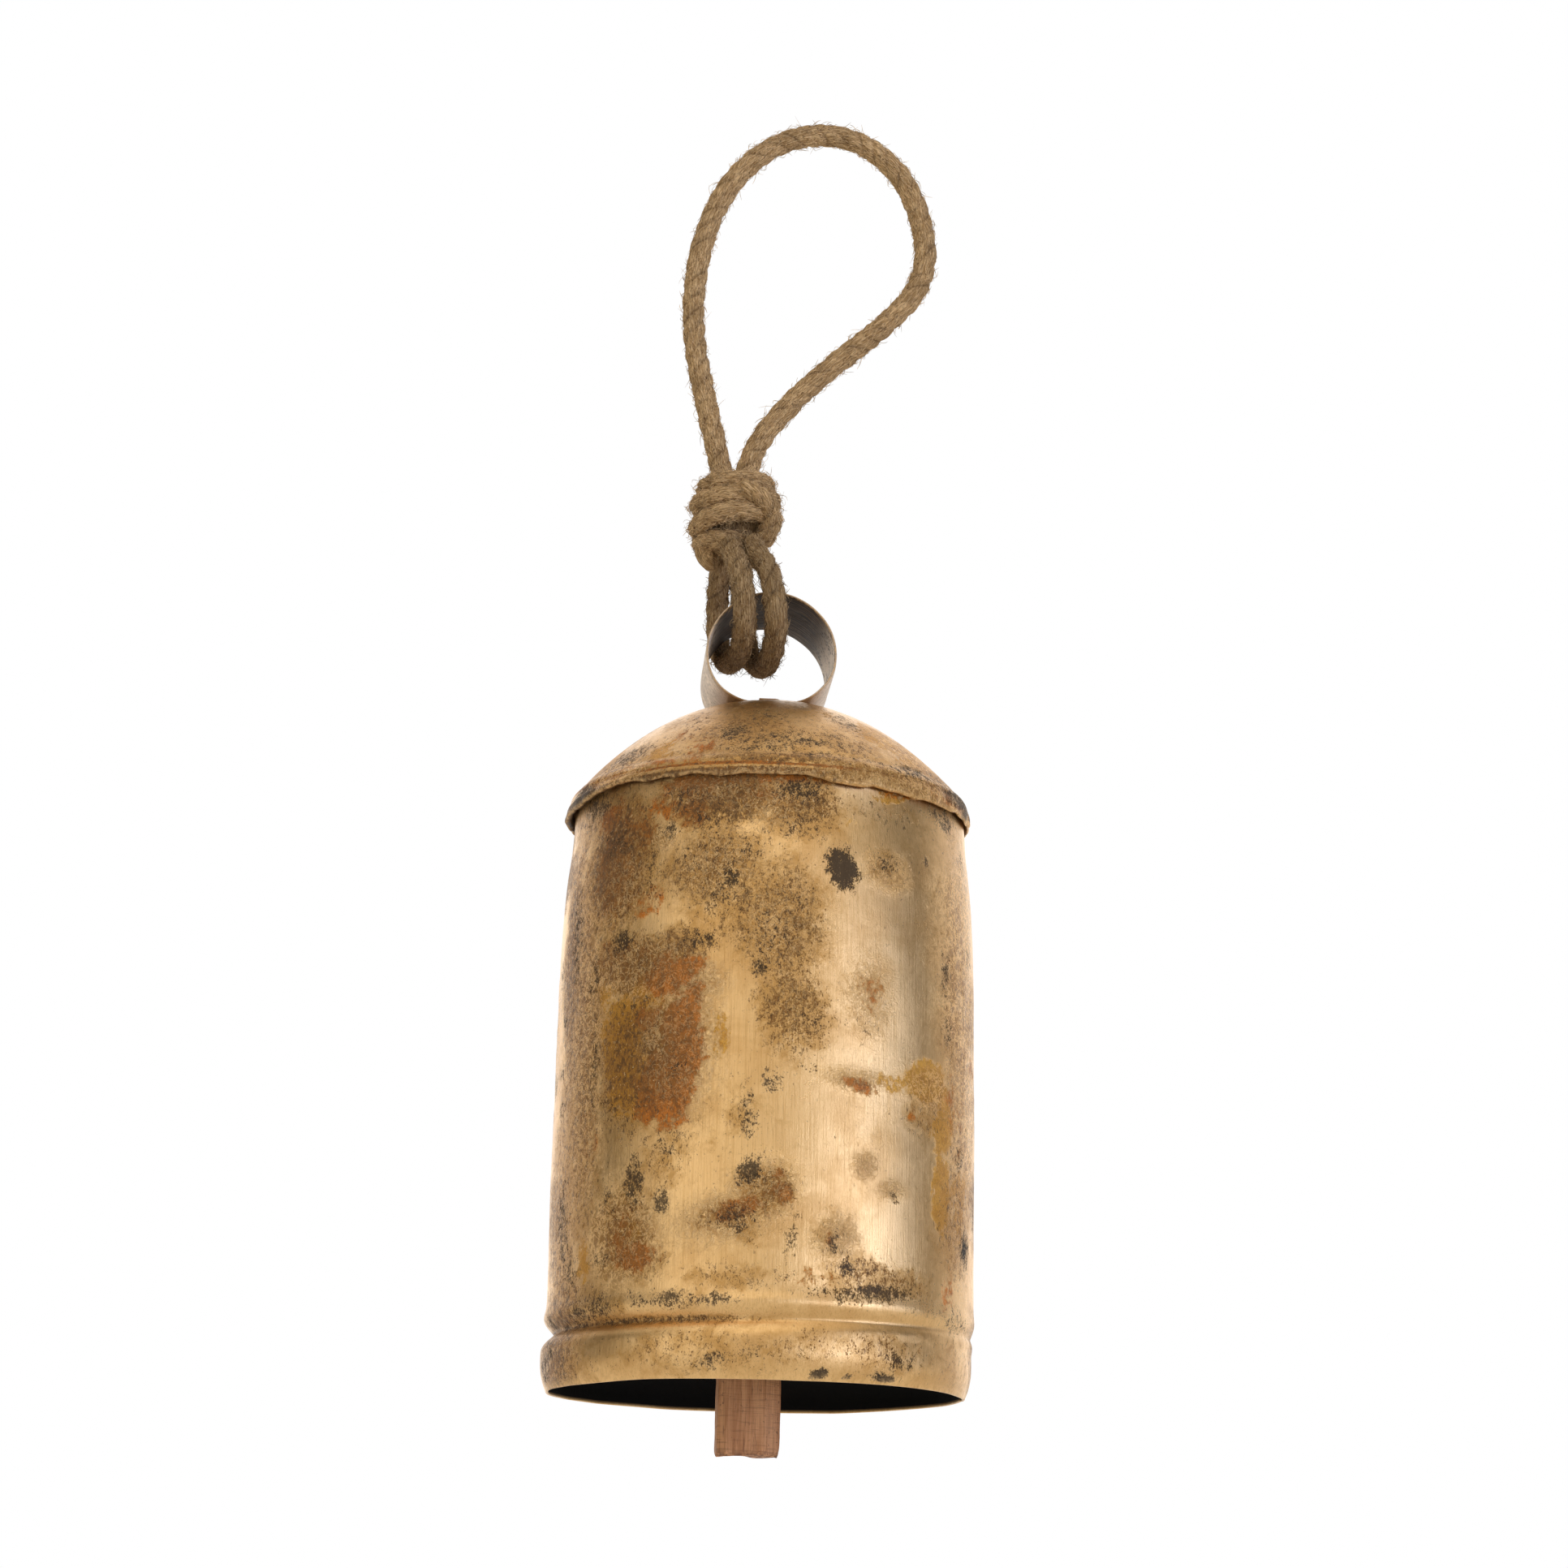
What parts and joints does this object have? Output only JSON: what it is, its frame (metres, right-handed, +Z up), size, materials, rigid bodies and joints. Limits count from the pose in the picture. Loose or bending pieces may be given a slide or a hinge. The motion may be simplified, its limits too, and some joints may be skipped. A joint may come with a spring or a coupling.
{
  "type": "hanging bell",
  "caption": "Hanging dinner bell: rolled sheet body with a lap seam and groove, domed cap, strap hoop, knotted rope loop, and a wooden clapper on a wire bail.",
  "frame": {"origin": "the point where a hook or peg bears on the inside of the rope loop, straight above the bell's axis", "axes": "+Z up along the bell's axis with the bell hanging; the strap hoop's axis runs along Y; the front of the bell faces -Y"},
  "size_m": [0.1133, 0.1126, 0.38],
  "materials": {
    "bell_brass": "aged, streaked brass coat with brown, rust and black patches",
    "cap_brass": "dull aged brass coat with dark streaks",
    "strap_iron": "dark gunmetal inside, grey-brown outside, brassy edges",
    "wire_iron": "dark wire",
    "clapper_wood": "sawn, unvarnished",
    "jute_rope": "twisted jute with loose fibres"
  },
  "bodies": {
    "rope": {"rope_loop": "jute_rope", "rope_knot": "jute_rope"},
    "sling": {"rope_bight_left": "jute_rope", "rope_bight_right": "jute_rope"},
    "bell": {"body_shell": "bell_brass", "cap_dome": "cap_brass", "hanger_strap": "strap_iron", "clapper_staple": "wire_iron"},
    "bail": {"clapper_link": "wire_iron"},
    "clapper": {"clapper_bar": "clapper_wood"}
  },
  "joints": [
    {"name": "sling_rock", "type": "hinge", "parent": "rope", "child": "sling", "pos_m": [-0.0108, 0, -0.1238], "axis": [1, 0, 0], "range_deg": [-12, 12]},
    {"name": "bell_swing", "type": "hinge", "parent": "sling", "child": "bell", "pos_m": [-0.0012, 0, -0.1566], "axis": [0, 1, 0], "range_deg": [-35, 35]},
    {"name": "bail_swing", "type": "hinge", "parent": "bell", "child": "bail", "pos_m": [-0.002, 0, -0.1844], "axis": [0, 1, 0], "range_deg": [-13.5, 12.5]},
    {"name": "clapper_swing", "type": "hinge", "parent": "bail", "child": "clapper", "pos_m": [-0.002, 0, -0.2274], "axis": [1, 0, 0], "range_deg": [-6, 6]}
  ]
}
